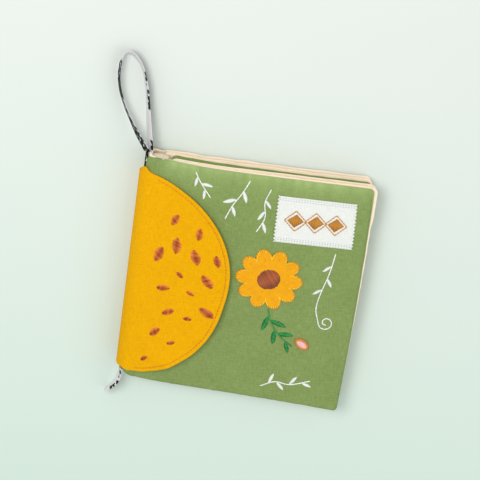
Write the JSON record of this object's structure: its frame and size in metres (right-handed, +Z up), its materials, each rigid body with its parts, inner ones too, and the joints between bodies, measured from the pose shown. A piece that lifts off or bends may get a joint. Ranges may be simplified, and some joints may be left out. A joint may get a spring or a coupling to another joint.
{
  "type": "cloth book",
  "caption": "Padded cloth book with crinkle-filled leaves, a wrap-round front flap, a sewn-on woven label, an appliqued flower and a printed ribbon loop at the spine.",
  "frame": {"origin": "middle of the underside of the shut book, measured without the free ribbon", "axes": "+X from the spine to the fore edge, +Y from the foot to the head, +Z up through the leaves"},
  "size_m": [0.1978, 0.276, 0.0283],
  "materials": {
    "green_cotton": "matte",
    "cream_cotton": "matte",
    "yellow_cotton": "matte",
    "yellow_felt": "matte",
    "brown_thread": "satin",
    "white_thread": "satin",
    "label_weave": "satin",
    "ochre_thread": "satin",
    "emerald_thread": "satin",
    "pink_felt": "matte",
    "ribbon": "satin",
    "wadding": "matte",
    "crinkle_film": "satin"
  },
  "bodies": {
    "back_cover": {"back_cover_cloth": "green_cotton", "back_cover_lining": "cream_cotton", "back_cover_batting": "wadding", "back_cover_crinkle_film": "crinkle_film", "spine_cover_lower": "green_cotton", "spine_lining_lower": "cream_cotton", "flap_band_lower": "yellow_cotton", "spine_ribbon": "ribbon", "spine_stitching": "cream_cotton", "hanging_loop": "ribbon", "ribbon_tail": "ribbon"},
    "rear_leaf": {"rear_leaf_front_face": "green_cotton", "rear_leaf_back_face": "cream_cotton", "rear_leaf_batting": "wadding", "rear_leaf_crinkle_film": "crinkle_film", "inner_fold_lower": "cream_cotton"},
    "front_leaf": {"front_leaf_back_face": "green_cotton", "front_leaf_front_face": "cream_cotton", "front_leaf_batting": "wadding", "front_leaf_crinkle_film": "crinkle_film", "inner_fold_upper": "cream_cotton"},
    "front_cover": {"front_cover_cloth": "green_cotton", "front_cover_lining": "cream_cotton", "front_cover_batting": "wadding", "front_cover_crinkle_film": "crinkle_film", "spine_cover_upper": "green_cotton", "spine_lining_upper": "cream_cotton", "woven_label": "label_weave", "label_stitching": "white_thread", "label_pattern": "ochre_thread", "flower_petals": "yellow_felt", "flower_centre": "brown_thread", "flower_stem": "emerald_thread", "pink_bud": "pink_felt", "white_tendril": "white_thread", "white_sprig_1": "white_thread", "white_sprig_2": "white_thread", "white_sprig_3": "white_thread", "white_sprig_4": "white_thread"},
    "flap": {"flap_lining": "yellow_cotton", "flap_interfacing": "wadding", "flap_cloth": "yellow_cotton", "flap_topstitching": "yellow_cotton", "flap_band_upper": "yellow_cotton", "flap_spot_01": "brown_thread", "flap_spot_02": "brown_thread", "flap_spot_03": "brown_thread", "flap_spot_04": "brown_thread", "flap_spot_05": "brown_thread", "flap_spot_06": "brown_thread", "flap_spot_07": "brown_thread", "flap_spot_08": "brown_thread", "flap_spot_09": "brown_thread", "flap_spot_10": "brown_thread", "flap_spot_11": "brown_thread", "flap_spot_12": "brown_thread", "flap_spot_13": "brown_thread", "flap_spot_14": "brown_thread", "flap_spot_15": "brown_thread", "flap_spot_16": "brown_thread"}
  },
  "joints": [
    {"name": "rear_leaf_turn", "type": "hinge", "parent": "back_cover", "child": "rear_leaf", "pos_m": [-0.07655, 0, 0.01295], "axis": [0, -1, 0], "range_deg": [0, 179.9], "deforming": ["inner_fold_lower"]},
    {"name": "front_leaf_turn", "type": "hinge", "parent": "rear_leaf", "child": "front_leaf", "pos_m": [-0.07655, 0, 0.01295], "axis": [0, -1, 0], "range_deg": [0, 179.9], "deforming": ["inner_fold_upper"]},
    {"name": "cover_turn", "type": "hinge", "parent": "front_leaf", "child": "front_cover", "pos_m": [-0.07655, 0, 0.01295], "axis": [0, -1, 0], "range_deg": [0, 179.9], "deforming": ["spine_cover_upper", "spine_lining_upper"]},
    {"name": "flap_turn", "type": "hinge", "parent": "front_cover", "child": "flap", "pos_m": [-0.07655, 0, 0.01295], "axis": [0, -1, 0], "range_deg": [0, 175], "deforming": ["flap_band_upper"]}
  ]
}
